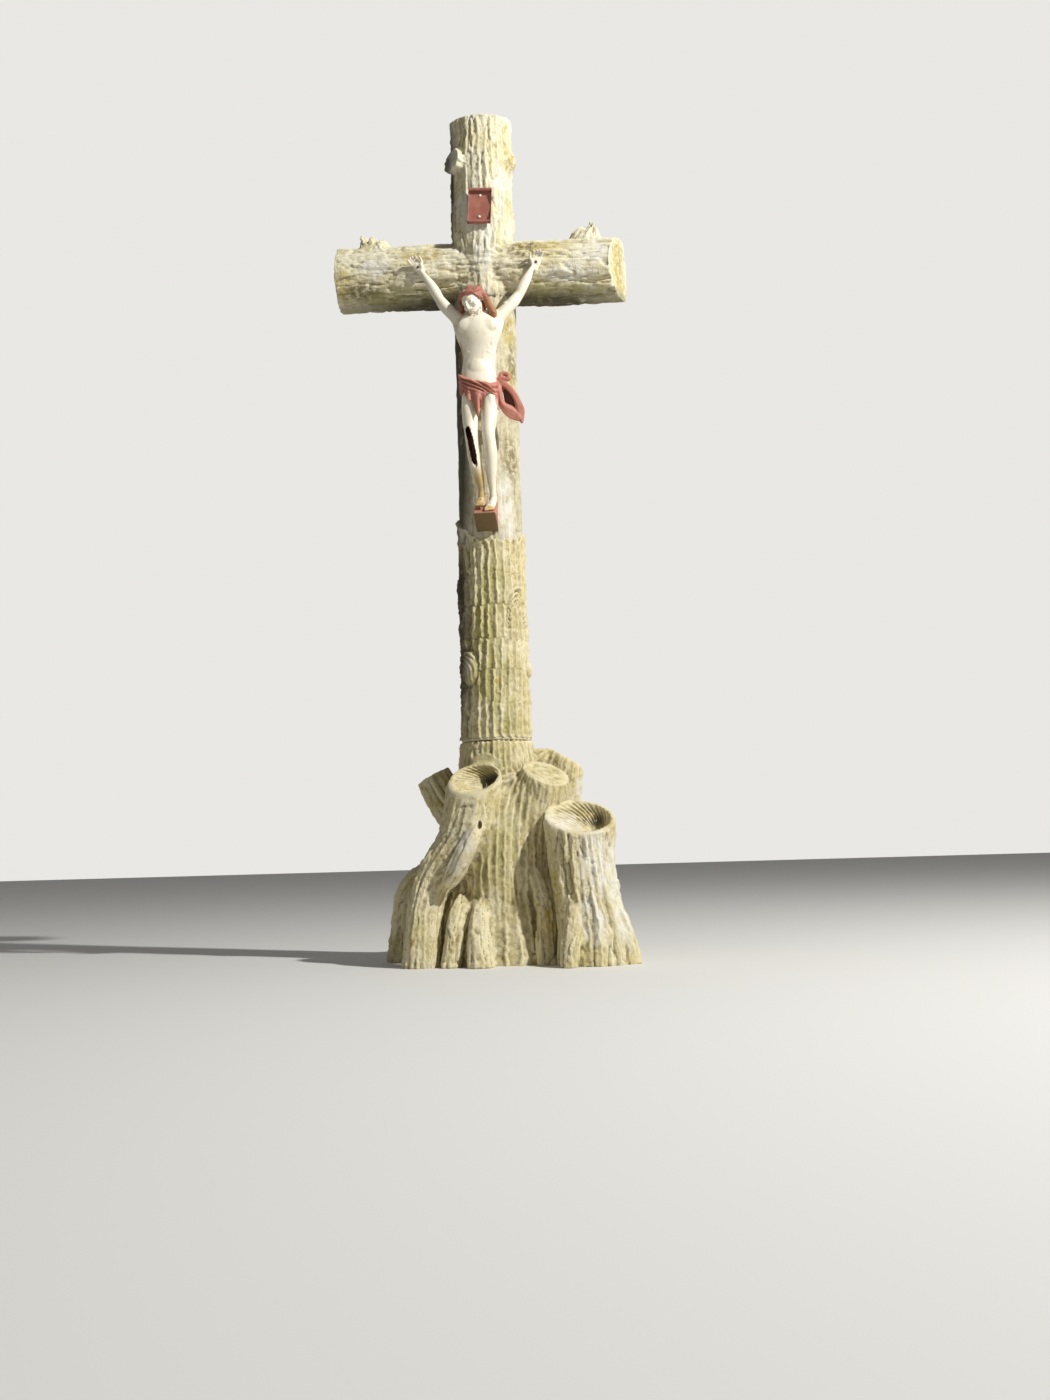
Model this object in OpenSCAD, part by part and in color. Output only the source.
// Wayside cross in cement modelled as a felled tree, with a painted cast figure.
// Millimetres, +Z up, front towards -Y, origin on the ground below the axis of the shaft.

/* [Stump base] */
// Height of the base, from the ground to the mortar joint
base_h = 1130; // [1060:10:1200]
// Radius of the base at the ground, between the roots
base_foot_r = 420; // [380:5:450]
// Radius of the base just under the mortar joint
base_top_r = 186; // [180:1:196]
// How late the base flares: 1 is a straight cone, more keeps the trunk slim for longer
base_flare = 1.25; // [1:0.05:1.5]
// Number of bark furrows round the base
base_furrows = 24; // [18:1:30]
// Depth of a bark furrow on the base
base_furrow_depth = 14; // [4:1:18]
// Thickness of the mortar joint between base and shaft
joint_h = 12; // [6:1:20]

/* [Hollow stumps] */
// Outer radius of the right hollow stump at its rim
right_cup_r = 184; // [170:1:190]
// Height of the rim's centre on the right hollow stump
right_cup_z = 724; // [680:2:760]
// Forward slope of the right rim, in degrees
right_cup_tilt = 28; // [20:1:34]
// Outer radius of the left hollow cup at its rim
left_cup_r = 146; // [134:1:152]
// Height of the rim's centre on the left hollow cup
left_cup_z = 932; // [900:2:960]
// Forward slope of the left rim, in degrees
left_cup_tilt = 36; // [28:1:40]
// Thickness of a cup's wall at its rim
cup_wall = 20; // [14:1:26]
// Depth of the right funnel, from the rim to the planting hole
right_funnel_h = 74; // [60:1:84]
// Depth of the left funnel, from the rim to the planting hole
left_funnel_h = 60; // [50:1:70]
// Radius of a planting hole
hole_r = 36; // [28:1:40]
// Depth of a planting hole below its funnel
hole_h = 90; // [60:5:120]
// How far the planting holes sit to the right of the middle of their funnels
hole_right = 70; // [50:1:76]
// How far the planting holes sit behind the middle of their funnels
hole_back = 34; // [20:1:40]
// Depth of a bark furrow on the stumps
stump_furrow_depth = 11; // [4:1:14]

/* [Cut stubs] */
// Radius of the right stub with the flat sloping cut
flat_stub_r = 126; // [112:1:132]
// Radius of the right rear stub
right_rear_r = 113; // [100:1:118]
// Radius of the left rear stub
left_rear_r = 96; // [84:1:104]

/* [Roots] */
// Radius of a main root where it leaves the base
root_r = 92; // [80:1:98]
// Number of sides of a root's section
root_sides = 12; // [10:1:14]

/* [Shaft] */
// Radius of the barked shaft just above the mortar joint
shaft_foot_r = 182; // [176:1:186]
// Radius of the barked shaft under the torn edge of the bark
shaft_r = 171; // [166:1:175]
// Height at which the bark stops and the peeled wood begins
peel_z = 2172; // [2120:4:2185]
// Thickness of the bark over the peeled wood
bark_t = 6; // [4:1:10]
// Height of the torn tongue of bark on the left
tongue_h = 130; // [60:5:150]
// Number of bark furrows round the shaft
shaft_furrows = 28; // [22:1:32]
// Depth of a bark furrow on the shaft
shaft_furrow_depth = 11; // [4:1:15]
// Number of bark courses on the lower shaft
shaft_courses = 6; // [4:1:8]

/* [Arms and head of the cross] */
// Height of the beam's centre line
beam_z = 3652; // [3630:2:3670]
// Length of the left arm from the axis of the shaft
left_arm_len = 789; // [740:5:840]
// Length of the right arm from the axis of the shaft
right_arm_len = 722; // [680:5:780]
// Height of the beam's section
beam_tall = 338; // [324:2:346]
// Depth of the beam's section, front to back
beam_deep = 312; // [296:2:320]
// Number of bark furrows round the beam
beam_furrows = 26; // [20:1:30]
// Depth of a bark furrow on the beam
beam_furrow_depth = 10; // [4:1:13]
// Number of bark courses on an arm
arm_courses = 3; // [2:1:4]
// Slant of the oblique cut at the right end, in degrees
beam_cut = 15; // [8:1:20]
// Height of the top of the cross above the ground
cross_h = 4540; // [4480:10:4600]
// Forward slope of the cut at the top of the post, in degrees
head_slope = 9; // [4:1:14]
// Radius of the head of the post
head_post_r = 168; // [164:1:172]
// Number of bark courses on the head of the post
head_courses = 4; // [3:1:6]

/* [Scroll plate] */
// Width of the plate
plate_w = 120; // [100:2:140]
// Height of the plate between its rolled edges
plate_h = 168; // [150:2:180]
// Thickness of the plate
plate_t = 8; // [5:1:10]
// Radius of the rolled edges
plate_roll_r = 9; // [7:0.5:12]
// Height of the plate's centre
plate_z = 3965; // [3950:2:3985]
// Lean of the plate to the left, in degrees
plate_lean = 3.5; // [0:0.5:5]
// Radius of a rivet head
rivet_r = 8; // [6:0.5:10]
// Distance between the two rivets
rivet_gap = 116; // [100:2:124]

/* [Figure] */
// Distance from the middle of the body back to the axis of the cross
figure_y = 262; // [256:1:268]
// Half the width of the chest
chest_half = 120; // [112:1:124]
// Half the width of the waist
waist_half = 90; // [84:1:94]
// Half the width of the hips
hip_half = 95; // [90:1:98]
// Half the width of the head
head_half = 52; // [48:1:55]
// Height of the head from chin to crown
head_tall = 164; // [154:1:170]
// Radius of the upper arm
arm_r = 29; // [25:1:32]
// Radius of the thigh
thigh_r = 46; // [42:1:48]
// Thickness of the casting where the calf is broken open
shell_t = 5; // [4:0.5:7]
// Thickness of the loincloth over the hips
cloth_t = 9; // [6:0.5:11]
// Thickness of the hanging tail of the loincloth
tail_t = 30; // [20:1:36]
// Radius of the thorn crown's band
crown_r = 8; // [6:0.5:10]

/* [Footrest and nails] */
// Width of the footrest
rest_w = 110; // [100:2:120]
// How far the footrest stands out from the axis of the shaft
rest_reach = 302; // [290:2:310]
// Height of the footrest's front top edge
rest_z = 2288; // [2282:2:2292]
// Height of the footrest's underside, from its front edge down to the shaft
rest_h = 70; // [60:2:90]
// Slope of the footrest's top, in degrees
rest_slope = 29; // [25:0.5:32]
// Radius of a nail's head
nail_r = 8; // [6:0.5:10]
// Radius of a nail's shank
shank_r = 4; // [3:0.25:5]

/* [Hidden] */

cement = "#B5A98A";
peeled = "#C3BA9F";
flesh = "#F2E9D2";
terracotta = "#B0675A";
hair_brown = "#A0655A";
iron = "#4A3A30";

// Room left between a piece and the curved face that carries it
seat = 0.3;
// Size of the blocks that cut a piece at a plane
far = 700;

function unit(v) = v / norm(v);
function lerp(a, b, t) = a + (b - a) * t;
function frac(x) = x - floor(x);
// A fixed, scattered value from 0 to 1 for a pair of whole numbers
function scatter(i, k) = frac(sin(i * 127.1 + k * 311.7) * 437.585);
function place(p) = [p[0], p[1], p[2]];

// Skin over a list of rings with equal numbers of points, closed at both ends
module loft(rings) {
    n = len(rings[0]);
    m = len(rings);
    function middle(ring) = [for (a = [0:2]) [for (p = ring) p[a]] * [for (p = ring) 1] / n];
    polyhedron(
        points = concat([for (ring = rings) each ring], [middle(rings[0]), middle(rings[m - 1])]),
        faces = concat(
            [for (k = [0:m - 2], i = [0:n - 1]) let (j = (i + 1) % n)
                each [[k * n + i, (k + 1) * n + i, (k + 1) * n + j],
                      [k * n + i, (k + 1) * n + j, k * n + j]]],
            [for (i = [0:n - 1]) [m * n, i, (i + 1) % n]],
            [for (i = [0:n - 1]) [m * n + 1, (m - 1) * n + (i + 1) % n, (m - 1) * n + i]]
        )
    );
}

// Skin over a list of rings that runs back to the first ring, as in a hoop
module hoop(rings) {
    n = len(rings[0]);
    m = len(rings);
    polyhedron(
        points = [for (ring = rings) each ring],
        faces = [for (k = [0:m - 1], i = [0:n - 1]) let (j = (i + 1) % n, next = (k + 1) % m)
            each [[k * n + i, next * n + i, next * n + j], [k * n + i, next * n + j, k * n + j]]]
    );
}

// Radius of a furrowed outline: every third point lies in the bottom of a furrow
function furrowed(r, depth, i, seed) =
    r - (i % 3 == 0 ? depth * (0.7 + 0.3 * scatter(i, seed)) : 2 * scatter(i, seed));

// Furrowed outline of a trunk, as a flat polygon, narrowed along its own X
function bark_outline(r, depth, furrows, seed, turn = 0, narrow = 1) = [
    for (i = [0:3 * furrows - 1])
        let (a = 120 * i / furrows + turn, q = furrowed(r, depth, i, seed)) [narrow * q * cos(a), q * sin(a)]
];

// A point turned forward about X and to the side about Y
function tilted(p, fwd, side) =
    let (y = p[1] * cos(fwd) - p[2] * sin(fwd), z = p[1] * sin(fwd) + p[2] * cos(fwd))
    [p[0] * cos(side) + z * sin(side), y, -p[0] * sin(side) + z * cos(side)];

// Rings of a stump from a list of [centre, radius, forward slope, side slope]
function stump_rings(levels, furrows, depth, seed) = [
    for (s = levels) [
        for (p = bark_outline(s[1], depth, furrows, seed)) s[0] + tilted([p[0], p[1], 0], s[2], s[3])
    ]
];

// Rings of a limb from a list of [x, y, z, half width, half depth], each square to the limb
function limb_rings(path, sides, ridge = 0) = [
    for (k = [0:len(path) - 1])
        let (
            t = unit(place(path[min(k + 1, len(path) - 1)]) - place(path[max(k - 1, 0)])),
            a = unit(cross(t, [0, 1, 0])),
            b = cross(t, a)
        )
        [for (i = [0:sides - 1]) let (q = 1 - ridge * (i % 2))
            place(path[k]) + q * path[k][3] * cos(360 * i / sides) * a
                + q * path[k][4] * sin(360 * i / sides) * b]
];

// A smooth curve through a list of points, with extra points between each pair
function between(a, b, c, d, t) =
    0.5 * (2 * b + (c - a) * t + (2 * a - 5 * b + 4 * c - d) * t * t + (3 * b - a - 3 * c + d) * t * t * t);
function smooth(path, steps) = concat(
    [for (k = [0:len(path) - 2], s = [0:steps - 1])
        between(path[max(k - 1, 0)], path[k], path[k + 1], path[min(k + 2, len(path) - 1)], s / steps)],
    [path[len(path) - 1]]
);

module limb(path, sides, steps = 2, ridge = 0) {
    loft(limb_rings(smooth(path, steps), sides, ridge));
}

// Everything below the ground
module underground() {
    translate([-2 * far, -2 * far, -far]) cube([4 * far, 4 * far, far]);
}

// STUMP BASE

// Directions of the swellings over the roots, anticlockwise from +X
root_directions = [-126, -103, -69, 172, 122, 58, 12];

function swelling(a) = max([for (d = root_directions)
    let (off = abs(((a - d + 540) % 360) - 180)) exp(-pow(off / 15, 2))]);

// One point of the base's skin, t running from 0 at the joint to 1 at the ground
function base_point(i, t) =
    let (
        a = 120 * i / base_furrows,
        r = lerp(base_top_r, base_foot_r, pow(t, base_flare)) + 45 * t * t * swelling(a),
        q = furrowed(r, base_furrow_depth * lerp(0.7, 1.5, t), (i + 3 * base_furrows) % (3 * base_furrows), 1)
    )
    [q * cos(a), q * sin(a), base_h * (1 - t)];

base_levels = [1, 0.84, 0.68, 0.52, 0.38, 0.25, 0.13, 0];

module base_stump() {
    color(cement) difference() {
        loft([for (t = base_levels) [for (i = [0:3 * base_furrows - 1]) base_point(i, t)]]);
        left_funnel();
    }
}

// The part of the base that lies within a number of degrees of a direction
module base_wedge(direction, half) {
    first = floor((direction - half) * base_furrows / 120);
    last = ceil((direction + half) * base_furrows / 120);
    loft([for (t = base_levels) concat([[0, 0, base_h * (1 - t)]], [for (i = [first:last]) base_point(i, t)])]);
}

// HOLLOW STUMPS

right_cup_side = 8;
right_cup_at = [445, -350, right_cup_z];
right_cup_levels = [
    [[502, -396, 0], right_cup_r + 10, 0, 0],
    [[490, -384, 0.28 * right_cup_z], right_cup_r - 6, 3, 0],
    [[466, -370, 0.5 * right_cup_z], right_cup_r - 20, 8, 2],
    [[448, -358, 0.74 * right_cup_z], right_cup_r - 20, 16, 5],
    [[444, -351, 0.91 * right_cup_z], right_cup_r - 12, 25, 7],
    [right_cup_at, right_cup_r, right_cup_tilt, right_cup_side]
];

left_cup_side = -8;
left_cup_at = [-83, -300, left_cup_z];
left_cup_levels = [
    [[-358, -400, -40], 104, 0, 0],
    [[-348, -374, 190], 92, 2, 4],
    [[-330, -340, 330], 88, 4, 13],
    [[-286, -310, 440], 102, 6, 30],
    [[-190, -292, 545], 142, 10, 14],
    [[-130, -290, 650], 154, 16, -3],
    [[-100, -294, 800], 146, 26, -7],
    [left_cup_at, left_cup_r, left_cup_tilt, left_cup_side]
];

module right_cup_body() {
    loft(stump_rings(right_cup_levels, 16, stump_furrow_depth, 2));
}

module left_cup_body() {
    loft(stump_rings(left_cup_levels, 14, stump_furrow_depth, 3));
}

funnel_sides = 28;

// Ring of a funnel: its middle in the frame of the rim, and its radius
function funnel_ring(at, fwd, side, middle, r) = [
    for (i = [0:funnel_sides - 1]) let (a = 360 * i / funnel_sides)
        at + tilted(middle + [r * cos(a), r * sin(a), 0], fwd, side)
];

// A lopsided funnel whose planting hole drops straight down from its deep right side
module funnel(at, r, fwd, side, depth) {
    over = 12;
    mouth = r - cup_wall;
    hole = [hole_right, hole_back, -depth];
    hole_at = at + tilted(hole, fwd, side);
    loft([
        [for (i = [0:funnel_sides - 1]) let (a = 360 * i / funnel_sides)
            hole_at + [0.94 * hole_r * cos(a), 0.94 * hole_r * sin(a), -hole_h]],
        funnel_ring(at, fwd, side, hole, hole_r),
        funnel_ring(at, fwd, side, [-hole_right, -hole_back, depth] * over / depth,
            mouth + (mouth - hole_r) * over / depth)
    ]);
}

module right_funnel() {
    funnel(right_cup_at, right_cup_r, right_cup_tilt, right_cup_side, right_funnel_h);
}

module left_funnel() {
    funnel(left_cup_at, left_cup_r, left_cup_tilt, left_cup_side, left_funnel_h);
}

module cup_stump_right() {
    color(cement) difference() {
        right_cup_body();
        right_funnel();
        base_wedge(-40, 60);
    }
}

module cup_stump_left() {
    color(cement) difference() {
        left_cup_body();
        left_funnel();
        base_wedge(-112, 75);
        underground();
    }
}

// CUT STUBS

module cut_stub(levels, direction, half) {
    color(cement) difference() {
        loft(stump_rings(levels, 12, stump_furrow_depth, 4));
        base_wedge(direction, half);
    }
}

module stub_right_flat() {
    cut_stub([
        [[130, -78, 400], flat_stub_r - 18, 0, 0],
        [[134, -82, 590], flat_stub_r - 18, 0, 0],
        [[200, -135, 720], flat_stub_r + 4, 6, 6],
        [[245, -190, 850], flat_stub_r + 6, 16, 14],
        [[272, -222, 954], flat_stub_r, 25, 22]
    ], -38, 75);
}

module stub_right_rear() {
    cut_stub([
        [[140, 46, 400], right_rear_r - 12, 0, 0],
        [[150, 50, 590], right_rear_r - 12, 0, 4],
        [[270, 72, 740], right_rear_r + 4, -2, 10],
        [[318, 84, 890], right_rear_r + 2, -4, 20],
        [[348, 96, 1040], right_rear_r, -6, 31]
    ], 16, 70);
}

module stub_left_rear() {
    cut_stub([
        [[-116, 44, 420], left_rear_r - 2, 0, 0],
        [[-120, 46, 590], left_rear_r, 0, -5],
        [[-215, 62, 715], left_rear_r + 6, 0, -12],
        [[-290, 80, 845], left_rear_r + 2, 0, -20],
        [[-351, 98, 970], left_rear_r, 0, -28]
    ], 164, 75);
}

// ROOTS

root_steps = 7;

// Line of a root that leaves the base in a direction and dives into the ground
function root_path(direction, start_z, reach, r, bend = 0) = [
    for (k = [0:root_steps])
        let (
            t = k / root_steps,
            d = lerp(base_top_r + 20, reach, t),
            a = direction + bend * t * t,
            z = lerp(start_z, -0.7 * r, 1 - pow(1 - t, 1.3)),
            q = lerp(r, 0.62 * r, t)
        )
        [d * cos(a), d * sin(a), z, q, q]
];

module root(direction, start_z, reach, r, bend = 0) {
    difference() {
        limb(root_path(direction, start_z, reach, r, bend), root_sides, 1, 0.08);
        base_wedge(direction, 50);
        underground();
    }
}

// A root built along a path of its own
module free_root(path, direction, half) {
    color(cement) difference() {
        limb(path, root_sides, 2, 0.08);
        base_wedge(direction, half);
        left_cup_body();
        right_cup_body();
        underground();
    }
}

module root_left() {
    free_root([
        [-215, 16, 478, root_r - 16, root_r - 6], [-390, 18, 420, root_r - 6, root_r + 4],
        [-462, 20, 336, root_r, root_r + 8], [-486, 20, 200, root_r, root_r + 10],
        [-500, 20, 60, root_r + 6, root_r + 14], [-508, 20, -60, root_r + 10, root_r + 16]
    ], 178, 40);
}

module root_front_left() {
    free_root([
        [-150, -300, 330, 40, 40], [-176, -372, 240, 48, 50], [-190, -430, 130, 52, 54],
        [-206, -474, 20, 56, 56], [-214, -492, -60, 56, 56]
    ], -116, 40);
}

module root_front_small() {
    free_root([
        [-58, -310, 340, 40, 40], [-62, -390, 240, 48, 48], [-58, -462, 140, 58, 54],
        [-50, -514, 50, 66, 58], [-46, -540, -50, 66, 58]
    ], -100, 40);
}

module root_front_centre() {
    free_root([
        [196, -270, 480, 38, 40], [240, -330, 372, 44, 46], [262, -372, 236, 50, 52],
        [265, -398, 100, 54, 56], [266, -412, -50, 56, 58]
    ], -58, 40);
}

module root_back_left() {
    color(cement) root(118, 540, 620, 0.95 * root_r);
}

module root_back_right() {
    color(cement) root(52, 560, 640, root_r);
}

module root_right_front() {
    free_root([
        [430, -470, 330, 40, 40], [410, -540, 210, 46, 46], [396, -594, 90, 46, 46], [390, -626, -40, 40, 40]
    ], -50, 40);
}

module root_right() {
    free_root([
        [560, -400, 330, 44, 44], [622, -428, 216, 50, 50], [664, -446, 90, 48, 48], [690, -456, -40, 42, 42]
    ], -35, 40);
}

module root_knot() {
    color(cement) difference() {
        limb([
            [-44, -418, 692, 14, 16], [-78, -450, 610, 34, 40], [-124, -458, 520, 44, 48],
            [-178, -436, 428, 40, 40]
        ], 12, 2);
        left_cup_body();
        base_wedge(-105, 40);
    }
}

// SHAFT

shaft_z = base_h + joint_h;
peeled_r = shaft_r - bark_t;
beam_top_z = beam_z + beam_tall / 2;

module mortar_joint() {
    color(cement) translate([0, 0, base_h]) cylinder(r = base_top_r - 3, h = joint_h);
}

// One course of bark between two heights
module course(z0, z1, r, depth, furrows, seed) {
    translate([0, 0, z0]) linear_extrude(z1 - z0)
        polygon(bark_outline(r, depth, furrows, seed, 4 * scatter(seed, 7)));
}

// Height of the foot of a bark course; those between the two ends are in whole millimetres
function course_z(z0, z1, courses, k) = k == 0 ? z0 : k == courses ? z1 : round(lerp(z0, z1, k / courses));

module shaft_lower() {
    color(cement) for (k = [0:shaft_courses - 1])
        course(course_z(shaft_z, peel_z, shaft_courses, k), course_z(shaft_z, peel_z, shaft_courses, k + 1),
            lerp(shaft_foot_r, shaft_r, k / (shaft_courses - 1)) - 2 * scatter(k, 5),
            shaft_furrow_depth, shaft_furrows, k + 11);
}

module peeled_wood(z0, z1) {
    course(z0, z1, peeled_r, 4, shaft_furrows, 31);
}

module shaft_upper() {
    color(peeled) peeled_wood(peel_z, beam_top_z);
}

// Steps of the torn edge of the bark: the directions between which it reaches a share of its height
torn_edge = [
    [188, 200, 1], [180, 208, 0.8], [172, 218, 0.6], [166, 230, 0.38], [160, 246, 0.16],
    [348, 372, 0.38], [340, 380, 0.16]
];
torn_lip = 5;

// The torn tongues of bark that run up the two sides of the peeled wood
module bark_tongue() {
    color(cement) difference() {
        for (s = torn_edge) translate([0, 0, peel_z]) linear_extrude(tongue_h * s[2])
            polygon(concat([[0, 0]], [for (a = [s[0]:2:s[1]]) (shaft_r + torn_lip) * [cos(a), sin(a)]]));
        peeled_wood(peel_z - 1, beam_top_z);
    }
}

module bark_knots() {
    color(cement) difference() {
        union() {
            limb([[-80, -90, 1425, 38, 38], [-80, -89, 1470, 70, 70], [-80, -89, 1515, 76, 76],
                [-78, -86, 1560, 68, 68], [-76, -82, 1600, 36, 36]], 20, 2);
            limb([[156, -8, 1460, 10, 12], [166, -8, 1502, 30, 32], [156, -8, 1544, 10, 12]], 14, 2);
        }
        shaft_lower();
    }
}

// Raised lip over the scar of a branch, an arch on the face of the shaft
module branch_scar() {
    lip = 12;
    color(cement) difference() {
        limb([for (k = [0:8]) let (u = -1 + k / 4, a = -38 + 22 * u)
            [(shaft_r - 2) * cos(a), (shaft_r - 2) * sin(a), 1925 - 185 * pow(abs(u), 2.2), lip, lip]], 8, 1);
        shaft_lower();
    }
}

module post_head_body() {
    for (k = [0:head_courses - 1])
        course(course_z(beam_top_z, cross_h, head_courses, k), course_z(beam_top_z, cross_h, head_courses, k + 1),
            head_post_r - k * k, shaft_furrow_depth, shaft_furrows, k + 41);
}

module post_head() {
    color(cement) difference() {
        post_head_body();
        translate([0, 0, cross_h - 30]) rotate([head_slope, 0, 0])
            translate([-far / 2, -far / 2, 0]) cube(far);
    }
}

// A point on the head of the post: shares of its radius across and of its height up
function on_post(x, y, up) = [x * head_post_r, y * head_post_r, lerp(beam_top_z, cross_h, up)];

module post_stubs() {
    color(cement) difference() {
        union() {
            limb([concat(on_post(-0.36, -0.3, 0.56), [52, 52]), concat(on_post(-0.72, -0.6, 0.59), [64, 66]),
                concat(on_post(-0.88, -0.73, 0.6), [70, 72])], 18, 1);
            limb([concat(on_post(0.7, -0.18, 0.5), [24, 26]), concat(on_post(0.84, -0.2, 0.61), [46, 50]),
                concat(on_post(0.7, -0.18, 0.72), [24, 26])], 14, 2);
        }
        post_head_body();
    }
}

// ARMS OF THE CROSS

// Drop of the beam from its middle to an end: the left arm rises and the right one falls
arm_slope = 14;

// One course of bark on an arm, counted from the shaft outwards
module arm_course(side, length, k, start = 0) {
    step = (length - start) / arm_courses;
    near = start + k * step;
    translate([side < 0 ? -near - step : near, 0, beam_z - side * round(arm_slope * (k + 0.5) / arm_courses)])
        rotate([90, 0, 90]) linear_extrude(step)
            polygon(bark_outline(beam_tall / 2 + (side > 0 ? 2 * k : 0), beam_furrow_depth, beam_furrows,
                k + 51 + 5 * side, 0, beam_deep / beam_tall));
}

right_bark_len = ceil(right_arm_len + beam_deep / 2 * tan(beam_cut));
arm_start = 60;

module left_arm_bark() {
    for (k = [0:arm_courses - 1]) arm_course(-1, left_arm_len, k, arm_start);
}

module right_arm_bark() {
    for (k = [0:arm_courses - 1]) arm_course(1, right_bark_len, k, arm_start);
}

module oblique_cut() {
    translate([right_arm_len, 0, beam_z]) rotate([0, 0, -beam_cut]) translate([0, -far / 2, -far / 2]) cube(far);
}

module beam_left() {
    color(cement) difference() {
        left_arm_bark();
        peeled_wood(beam_z - far / 2, beam_z + far / 2);
    }
}

module beam_right() {
    color(cement) difference() {
        right_arm_bark();
        peeled_wood(beam_z - far / 2, beam_z + far / 2);
        oblique_cut();
    }
}

// Distance of each broken stub from the end of its arm
left_stub_in = 199;
right_stub_in = 158;

module beam_stubs() {
    top = beam_z + beam_tall / 2;
    color(cement) difference() {
        union() {
            translate([left_stub_in - left_arm_len, 0, top]) limb([
                [6, -20, -56, 74, 60], [2, -24, 4, 62, 52], [-8, -26, 34, 48, 42], [-16, -26, 62, 34, 30]
            ], 14, 1, 0.1);
            translate([right_arm_len - right_stub_in, 0, top]) limb([
                [-6, -20, -66, 112, 66], [-4, -22, -14, 100, 60], [6, -24, 24, 54, 40], [14, -26, 54, 14, 16]
            ], 14, 1, 0.1);
        }
        left_arm_bark();
        right_arm_bark();
    }
}

// SCROLL PLATE

plate_back = head_post_r + seat;

module plate_profile() {
    translate([-plate_t, -plate_h / 2]) square([plate_t, plate_h]);
    for (s = [-1, 1]) translate([-plate_roll_r, s * plate_h / 2]) difference() {
        circle(plate_roll_r);
        circle(plate_roll_r - 4);
    }
}

module plate_frame() {
    translate([6, -plate_back, plate_z]) rotate([0, plate_lean, 0]) children();
}

module scroll_plate() {
    color(terracotta) plate_frame() difference() {
        translate([-plate_w / 2, 0, 0]) rotate([90, 0, 90]) linear_extrude(plate_w) plate_profile();
        for (s = [-1, 1]) translate([0, 1, s * rivet_gap / 2]) rotate([90, 0, 0])
            cylinder(r = shank_r, h = plate_t + 2);
    }
}

module plate_rivets() {
    color(flesh) difference() {
        plate_frame() for (s = [-1, 1]) translate([0, 0, s * rivet_gap / 2]) rotate([90, 0, 0]) {
            translate([0, 0, -20]) cylinder(r = shank_r, h = plate_t + 20);
            translate([0, 0, plate_t]) intersection() {
                translate([0, 0, 3 - rivet_r]) sphere(rivet_r);
                cylinder(r = rivet_r, h = rivet_r);
            }
        }
        post_head_body();
    }
}

// FIGURE

hip_z = 2935;
neck_z = 3378;
left_shoulder = [-100, -figure_y + 6, 3338];
right_shoulder = [86, -figure_y + 6, 3342];
left_elbow = [-220, -214, 3472];
right_elbow = [208, -214, 3466];
left_palm = [-330, -beam_deep / 2 - 16, 3652];
right_palm = [296, -beam_deep / 2 - 16, 3640];

module torso_body() {
    y = -figure_y;
    limb([
        [-12, y, hip_z, hip_half - 3, 58], [-14, y, 2990, hip_half, 64], [-12, y, 3050, hip_half - 4, 60],
        [-9, y - 2, 3105, waist_half, 58], [-8, y - 6, 3165, waist_half + 5, 64],
        [-7, y - 10, 3225, chest_half - 10, 74], [-7, y - 10, 3280, chest_half, 78],
        [-8, y - 4, 3325, chest_half - 2, 70], [-10, y, 3352, chest_half - 34, 54], [-20, y - 2, neck_z, 40, 40]
    ], 22, 1);
}

// The far side of the plane on which an arm meets the torso
module shoulder_side(shoulder, elbow) {
    d = unit(elbow - shoulder);
    translate(shoulder) rotate([0, acos(d[2]), atan2(d[1], d[0])])
        translate([-far / 2, -far / 2, 0]) cube([far, far, far]);
}

module figure_torso() {
    color(flesh) difference() {
        torso_body();
        shoulder_side(left_shoulder, left_elbow);
        shoulder_side(right_shoulder, right_elbow);
    }
}

module hand(palm, lean) {
    translate(palm) rotate([0, lean, 0]) {
        limb([[0, 0, -34, 14, 9], [0, 0, -16, 19, 11], [0, 0, 6, 23, 11], [0, 0, 24, 21, 9]], 10, 1);
        for (f = [-1.5:1:1.5]) limb([
            [f * 10, 0, 14, 5.5, 6], [f * 13, -6, 44 - 3 * abs(f), 5.5, 5.5],
            [f * 15, -22, 56 - 4 * abs(f), 4.5, 4.5]
        ], 6, 1);
    }
}

module thumb(palm, lean, side) {
    translate(palm) rotate([0, lean, 0]) limb([
        [side * 10, 0, -14, 8, 7], [side * 30, -8, 8, 6.5, 6], [side * 34, -16, 30, 5, 5]
    ], 6, 1);
}

module nail_hole(palm) {
    translate(palm + [0, 40, 0]) rotate([90, 0, 0]) cylinder(r = shank_r + seat, h = 80);
}

module arm_left_body() {
    limb([
        concat(left_shoulder + [26, 2, -36], [40, 34]), concat(left_shoulder + [-8, 2, 12], [38, 34]),
        [-160, -238, 3398, arm_r + 1, arm_r], concat(left_elbow, [24, 24]),
        [-262, -206, 3534, 25, 22], [-306, -190, 3608, 14, 12], [-318, -182, 3630, 14, 10]
    ], 12, 2);
}

module arm_left() {
    color(flesh) difference() {
        union() {
            arm_left_body();
            hand(left_palm, -34);
            thumb(left_palm, -34, 1);
        }
        mirror_side(left_shoulder, left_elbow);
        nail_hole(left_palm);
        left_arm_bark();
    }
}

module arm_right() {
    color(flesh) difference() {
        union() {
            limb([
                concat(right_shoulder + [-26, 2, -36], [40, 34]), concat(right_shoulder + [8, 2, 12], [38, 34]),
                [146, -238, 3400, arm_r + 1, arm_r], concat(right_elbow, [24, 24]),
                [238, -206, 3526, 25, 22], [274, -190, 3592, 14, 12], [284, -182, 3616, 14, 10]
            ], 12, 2);
            hand(right_palm, 16);
            thumb(right_palm, 16, -1);
        }
        mirror_side(right_shoulder, right_elbow);
        nail_hole(right_palm);
        right_arm_bark();
    }
}

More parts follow.
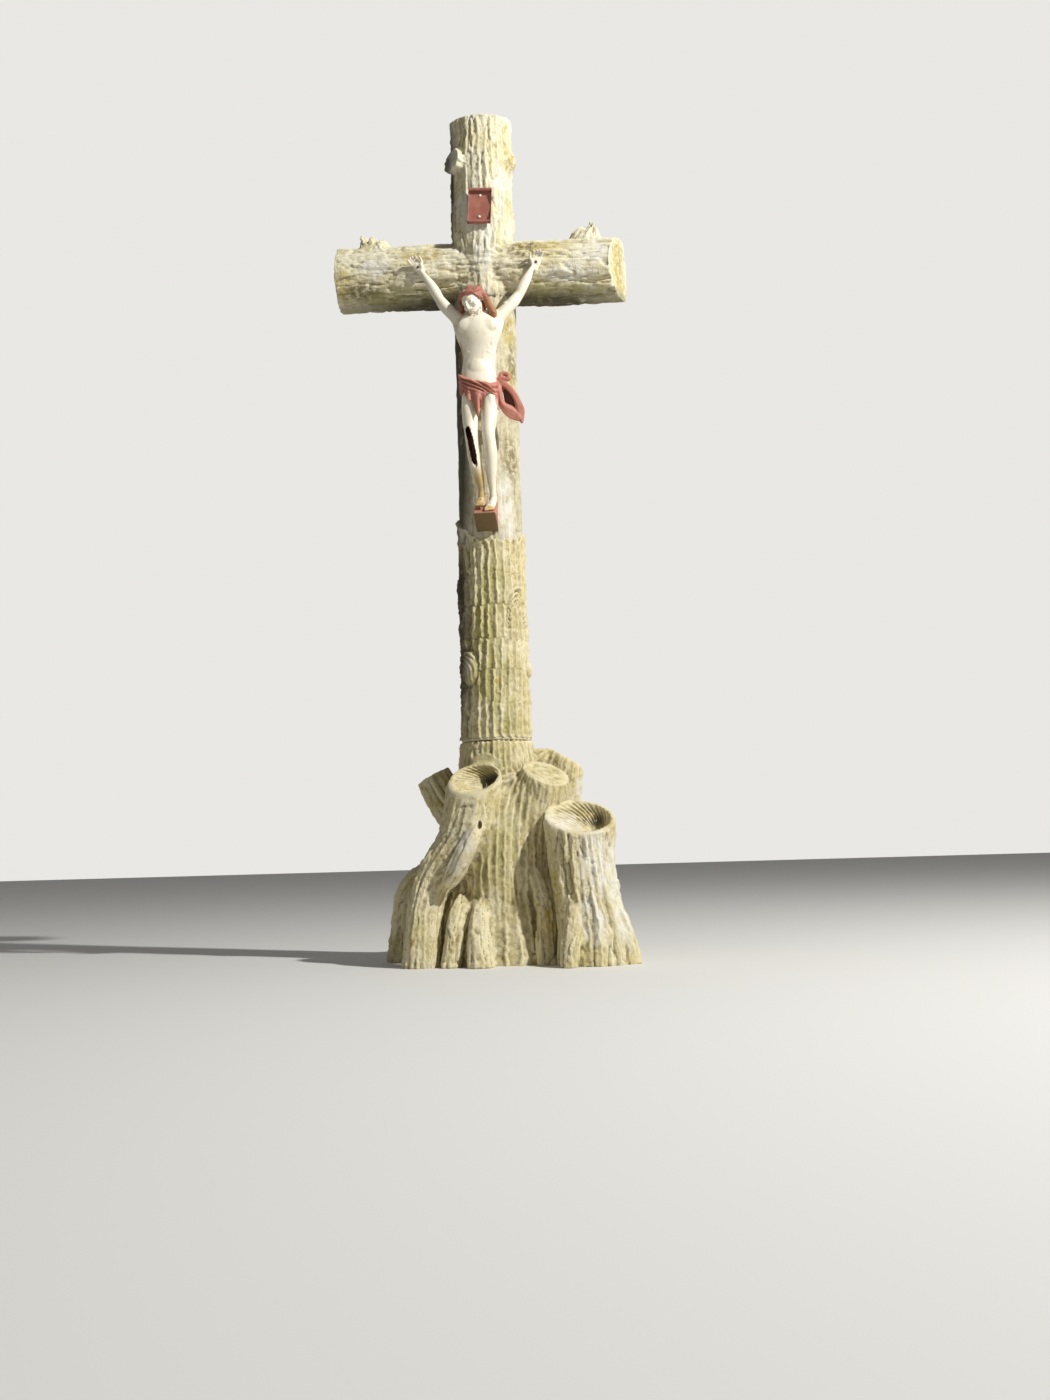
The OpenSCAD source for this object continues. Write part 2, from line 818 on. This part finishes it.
// The near side of the plane on which an arm meets the torso
module mirror_side(shoulder, elbow) {
    d = unit(elbow - shoulder);
    translate(shoulder) rotate([0, acos(d[2]), atan2(d[1], d[0])])
        translate([-far / 2, -far / 2, -far]) cube([far, far, far]);
}

head_at = [-40, -figure_y - 26, 3405];

// Turns a piece with the head: bowed, leaning and turned to the viewer's left
module with_head() {
    translate(head_at) rotate([22, 0, -18]) rotate([0, -10, 0]) children();
}

module head_shape(grow = 0) {
    h = head_tall / 2;
    limb([
        [0, -18, -h - grow, 12 + grow, 12 + grow], [0, -14, -0.86 * h, 25 + grow, 34 + grow],
        [0, -8, -0.5 * h, 38 + grow, 52 + grow], [0, -2, 0, head_half + grow, 64 + grow],
        [0, 2, 0.45 * h, head_half - 1 + grow, 68 + grow], [0, 4, 0.8 * h, 38 + grow, 50 + grow],
        [0, 4, h + grow, 10, 12]
    ], 16, 1);
}

module figure_head() {
    color(flesh) difference() {
        union() {
            with_head() {
                head_shape();
                limb([[0, -60, 26, 5, 5], [0, -68, 6, 7, 8], [0, -76, -14, 9, 9], [0, -60, -22, 6, 6]], 8, 1);
                limb([[0, -46, -62, 14, 14], [0, -44, -84, 15, 15], [0, -38, -102, 6, 6]], 10, 1);
            }
            figure_neck();
        }
        torso_body();
    }
}

module figure_hair() {
    color(hair_brown) difference() {
        union() {
            with_head() difference() {
                head_shape(9);
                translate([-90, -160, -160]) cube([180, 128, 200]);
            }
            hair_locks();
        }
        with_head() head_shape();
        torso_body();
        figure_neck();
        arm_left_body();
    }
}

module hair_locks() {
    limb([[10, -262, 3420, 18, 18], [34, -268, 3386, 22, 20], [46, -272, 3350, 18, 18],
        [44, -292, 3322, 9, 9]], 10, 2);
    limb([[-84, -258, 3420, 14, 16], [-90, -260, 3390, 15, 17], [-84, -280, 3352, 9, 9]], 10, 2);
}

module figure_neck() {
    limb([[-18, -figure_y - 2, neck_z - 20, 36, 36], [-28, -figure_y - 8, neck_z + 8, 32, 34],
        [-36, -figure_y - 14, neck_z + 40, 30, 34]], 14, 1);
}

crown_band = [head_half + 12, 76];

module thorn_crown() {
    turns = 24;
    sides = 6;
    color(hair_brown) with_head() translate([0, 2, 34]) difference() {
        union() {
            hoop([for (k = [0:turns - 1]) let (
                    a = 360 * k / turns,
                    q = crown_r * (1 + 0.18 * sin(5 * a)))
                [for (i = [0:sides - 1]) let (b = 360 * i / sides)
                    [(crown_band[0] + q * cos(b)) * cos(a), (crown_band[1] + q * cos(b)) * sin(a),
                        5 * sin(3 * a) - q * sin(b)]]]);
            for (a = [10:36:350]) translate([crown_band[0] * cos(a), crown_band[1] * sin(a), 5 * sin(3 * a)])
                rotate([0, 60 + 40 * scatter(a, 3), a]) cylinder(r1 = 3, r2 = 0.4, h = 20);
        }
        translate([0, -2, -34]) head_shape(9);
    }
}

leg_top = hip_z;
left_leg = [
    [-60, -262, leg_top, thigh_r + 1, 54], [-61, -272, 2860, thigh_r, 48], [-58, -294, 2770, 40, 40],
    [-54, -312, 2690, 34, 36], [-46, -300, 2600, 32, 34], [-30, -268, 2520, 27, 28],
    [-16, -240, 2450, 21, 21], [-20, -226, 2410, 19, 21], [-20, -220, 2380, 17, 18]
];
right_leg = [
    [38, -262, leg_top, thigh_r + 1, 54], [39, -272, 2860, thigh_r, 48], [38, -294, 2770, 39, 40],
    [35, -312, 2688, 32, 36], [42, -300, 2596, 31, 34], [40, -266, 2516, 26, 28],
    [37, -240, 2450, 21, 21], [41, -226, 2408, 19, 21], [41, -220, 2378, 17, 18]
];

// A point on the sloping top of the footrest, out from the shaft's axis and up from the top
function on_rest(x, out, up) = [x, -out, rest_z + (rest_reach - out) * tan(rest_slope) + up];

// A foot on the footrest, from the ankle to the tips of the toes
module foot(x, toe_x, up, tip) {
    limb([
        concat(on_rest(x, tip - 78, 42 + up), [17, 18]), concat(on_rest(x, tip - 54, 28 + up), [21, 24]),
        concat(on_rest(lerp(x, toe_x, 0.6), tip - 30, 16 + up), [23, 15]),
        concat(on_rest(toe_x, tip - 10, 11 + up), [24, 10]), concat(on_rest(toe_x, tip, 8 + up), [20, 6])
    ], 12, 1);
}

module leg_left() {
    color(flesh) difference() {
        union() {
            limb(left_leg, 14, 2);
            foot(-20, -26, left_foot_up, 270);
        }
        intersection() {
            limb([for (s = left_leg) [s[0], s[1], s[2], s[3] - shell_t, s[4] - shell_t]], 14, 2);
            translate([-150, -400, 2512]) cube([200, 250, 236]);
        }
        translate([0, -420, 0]) rotate([-90, 0, 0]) linear_extrude(145)
            polygon([[-80, -2722], [-64, -2740], [-48, -2716], [-36, -2662], [-24, -2604], [-18, -2552],
                [-24, -2524], [-40, -2526], [-52, -2542], [-64, -2584], [-74, -2640], [-80, -2688]]);
        torso_body();
        footrest();
        rest_nail_holes();
    }
}

module leg_right() {
    color(flesh) difference() {
        union() {
            limb(right_leg, 14, 2);
            foot(40, 26, 0, 290);
        }
        torso_body();
        footrest();
        rest_nail_holes();
    }
}

// How far the left foot is lifted off the footrest
left_foot_up = 18;
// Each foot nail: its place across, its distance out, and the height of its head along the nail
foot_nails_at = [[-23, 244, 34 + left_foot_up * cos(rest_slope)], [31, 262, 34]];

module rest_nail_holes() {
    for (n = foot_nails_at) translate(on_rest(n[0], n[1], 0)) rotate([rest_slope, 0, 0]) {
        translate([0, 0, -30]) cylinder(r = shank_r + seat, h = 120);
        translate([0, 0, n[2]]) cylinder(r = nail_r + seat, h = 60);
    }
}

knot_at = [121, -236, 3010];

module loincloth_body() {
    y = -figure_y;
    c = cloth_t;
    limb([
        [-14, y + 2, 2900, hip_half + c - 2, 66 + c], [-14, y, 2940, hip_half + c, 68 + c],
        [-14, y, 2990, hip_half + c, 66 + c], [-14, y + 1, 3010, hip_half + c - 1, 63 + c]
    ], 28, 1, 0.03);
    limb([
        [-30, -330, 2960, 46, 16], [-28, -336, 2900, 40, 16], [-20, -338, 2850, 24, 13],
        [-12, -334, 2806, 7, 8]
    ], 12, 2, 0.12);
}

module loincloth() {
    color(terracotta) difference() {
        loincloth_body();
        torso_body();
        limb(left_leg, 14, 2);
        limb(right_leg, 14, 2);
        translate([50, -400, 2860]) rotate([0, -20, 0]) cube([40, 300, 62]);
    }
}

// The knot on the hip, a loop of cloth, and the two folds that hang from it
module loincloth_tail() {
    color(terracotta) difference() {
        union() {
            translate(knot_at) hoop([for (k = [0:15]) let (a = 22.5 * k)
                [for (i = [0:7]) let (b = 45 * i)
                    [(19 + 10 * cos(b)) * cos(a), 14 * sin(b), (22 + 10 * cos(b)) * sin(a)]]]);
            limb([
                [64, -236, 3000, 14, 15], [100, -236, 2986, 22, 15], [136, -236, 2958, 28, tail_t / 2 + 1],
                [166, -234, 2910, 32, tail_t / 2], [178, -232, 2852, 27, 14], [190, -230, 2800, 14, 11],
                [199, -230, 2768, 4, 5]
            ], 12, 2, 0.1);
            limb([
                [72, -244, 2986, 12, 12], [98, -246, 2936, 16, 13], [112, -246, 2886, 17, 12],
                [134, -242, 2846, 20, 11], [168, -236, 2816, 16, 9]
            ], 10, 2, 0.1);
        }
        loincloth_body();
        torso_body();
        limb(right_leg, 14, 2);
    }
}

module footrest() {
    color(terracotta) difference() {
        translate([-rest_w / 2 + 1, 0, 0]) rotate([90, 0, 90]) linear_extrude(rest_w) polygon([
            [-rest_reach, rest_z], [6 - peeled_r, rest_z - rest_h], [0, rest_z - rest_h],
            [0, rest_z + rest_reach * tan(rest_slope)]
        ]);
        peeled_wood(peel_z - far, beam_top_z);
    }
}

module nail(length) {
    cylinder(r = shank_r, h = length);
    translate([0, 0, length]) intersection() {
        translate([0, 0, 3 - nail_r]) sphere(nail_r);
        cylinder(r = nail_r, h = nail_r);
    }
}

module hand_nails() {
    color(iron) difference() {
        for (p = [left_palm, right_palm]) translate(p + [0, 60, 0]) rotate([90, 0, 0]) nail(72);
        left_arm_bark();
        right_arm_bark();
    }
}

module foot_nails() {
    color(iron) difference() {
        for (n = foot_nails_at) translate(on_rest(n[0], n[1], 0)) rotate([rest_slope, 0, 0])
            translate([0, 0, -20]) nail(20 + n[2]);
        footrest();
    }
}

base_stump();
cup_stump_right();
cup_stump_left();
stub_right_flat();
stub_right_rear();
stub_left_rear();
root_front_left();
root_left();
root_front_small();
root_front_centre();
root_right_front();
root_right();
root_back_right();
root_back_left();
root_knot();
mortar_joint();
shaft_lower();
bark_tongue();
bark_knots();
branch_scar();
shaft_upper();
beam_left();
beam_right();
beam_stubs();
post_head();
post_stubs();
scroll_plate();
plate_rivets();
figure_torso();
figure_head();
figure_hair();
thorn_crown();
arm_left();
arm_right();
leg_left();
leg_right();
loincloth();
loincloth_tail();
footrest();
hand_nails();
foot_nails();
